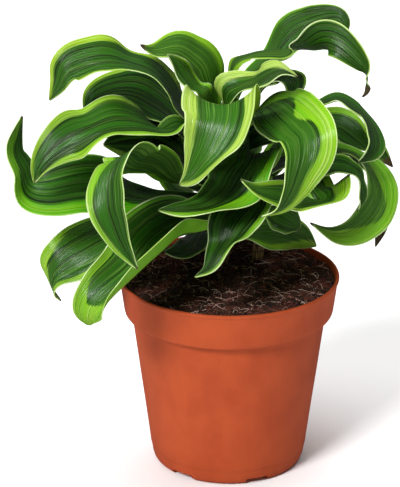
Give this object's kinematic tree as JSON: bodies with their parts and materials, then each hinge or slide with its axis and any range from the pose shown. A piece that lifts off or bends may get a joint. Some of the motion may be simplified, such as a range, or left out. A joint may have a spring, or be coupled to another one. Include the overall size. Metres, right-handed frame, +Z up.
{
  "type": "potted dracaena",
  "caption": "Dracaena with arching and twisting variegated leaves on two short canes, growing in soil in a tapered nursery pot with a flared collar.",
  "frame": {"origin": "centre of the pot's flat underside, where it stands", "axes": "+Z up along the pot's axis, -Y towards the viewer of the picture, +X to the viewer's right"},
  "size_m": [0.1897, 0.1422, 0.2295],
  "materials": {
    "pot": "satin terracotta-coloured plastic",
    "soil": "moist dark potting soil with pale coir fibres",
    "cane": "dry light brown ringed cane",
    "leaf": "satin green with lime margins and pale stripes"
  },
  "bodies": {
    "root": {"pot": "pot", "soil": "soil", "cane_main": "cane", "cane_side": "cane", "leaf_01": "leaf", "leaf_02": "leaf", "leaf_03": "leaf", "leaf_04": "leaf", "leaf_05": "leaf", "leaf_06": "leaf", "leaf_07": "leaf", "leaf_08": "leaf", "leaf_09": "leaf", "leaf_10": "leaf", "leaf_11": "leaf", "leaf_12": "leaf", "leaf_13": "leaf", "leaf_14": "leaf", "leaf_15": "leaf", "leaf_16": "leaf", "leaf_17": "leaf", "leaf_18": "leaf", "leaf_19": "leaf", "leaf_20": "leaf", "leaf_21": "leaf", "leaf_22": "leaf", "leaf_23": "leaf", "leaf_24": "leaf", "leaf_25": "leaf", "leaf_26": "leaf", "leaf_27": "leaf", "leaf_28": "leaf", "leaf_29": "leaf", "leaf_30": "leaf", "leaf_31": "leaf", "leaf_32": "leaf", "leaf_33": "leaf", "leaf_34": "leaf", "leaf_35": "leaf", "leaf_36": "leaf"}
  },
  "joints": []
}
